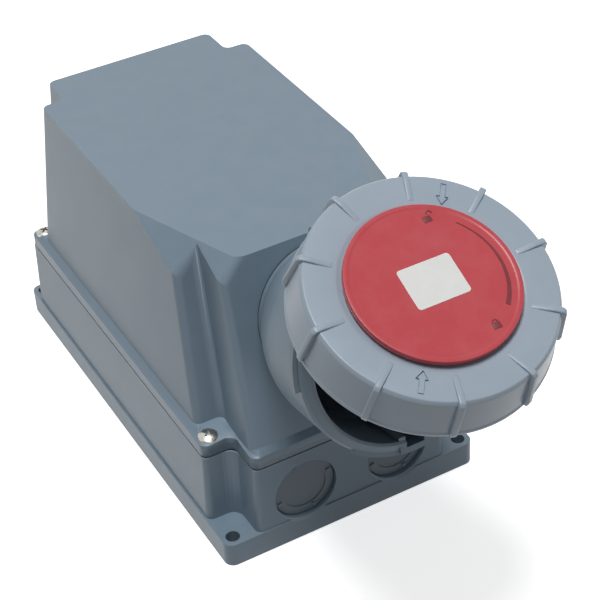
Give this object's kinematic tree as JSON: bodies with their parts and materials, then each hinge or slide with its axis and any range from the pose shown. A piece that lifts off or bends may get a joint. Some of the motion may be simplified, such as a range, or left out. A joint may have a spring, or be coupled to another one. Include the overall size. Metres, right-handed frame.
{
  "type": "industrial wall socket",
  "caption": "Tall rectangular wall box with an inclined round pin-and-sleeve outlet, a hinged round lid shown open, and a ribbed bayonet ring that turns on the lid.",
  "frame": {"origin": "centre of the wall face, in the middle of the four fixing holes", "axes": "+Z out of the wall, -Y towards the outlet, X across the box"},
  "size_m": [0.17, 0.4422, 0.2512],
  "materials": {
    "grey_plastic": "moulded, faint sheen",
    "ring_plastic": "moulded, faint sheen",
    "red_plastic": "moulded, faint sheen",
    "plug_plastic": "moulded, faint sheen",
    "inner_plastic": "dark moulding",
    "label": "printed film, left bare",
    "seal": "soft seal",
    "screw_steel": "plated",
    "contact_brass": "plain"
  },
  "bodies": {
    "root": {"base_box": "grey_plastic", "cover": "grey_plastic", "cover_gasket": "seal", "cover_screws": "screw_steel", "collar": "grey_plastic", "collar_gasket": "seal", "clamp_nut": "inner_plastic", "contact_carrier": "inner_plastic", "contact_l1": "contact_brass", "contact_l2": "contact_brass", "contact_l3": "contact_brass", "contact_n": "contact_brass", "contact_pe": "contact_brass", "contact_pilot": "contact_brass", "terminal_screws": "screw_steel", "carrier_screws": "screw_steel", "earth_bar": "contact_brass", "earth_bar_screws": "screw_steel", "plug_left": "plug_plastic", "plug_right": "plug_plastic", "plug_seals": "seal", "plug_nuts": "inner_plastic", "hinge_pin": "screw_steel"},
    "lid": {"lid_carrier": "inner_plastic", "lid_gasket": "seal", "lid_cap": "red_plastic", "lid_screws": "screw_steel", "lid_label": "label"},
    "ring": {"lid_ring": "ring_plastic"}
  },
  "joints": [
    {"name": "lid_hinge", "type": "hinge", "parent": "root", "child": "lid", "pos_m": [0, -0.15889, 0.21633], "axis": [-1, 0, 0], "range_deg": [-49.5, 45]},
    {"name": "ring_turn", "type": "hinge", "parent": "lid", "child": "ring", "pos_m": [0, -0.23616, 0.22708], "axis": [0, -0.4116, 0.9114], "range_deg": [-60, 0]}
  ]
}
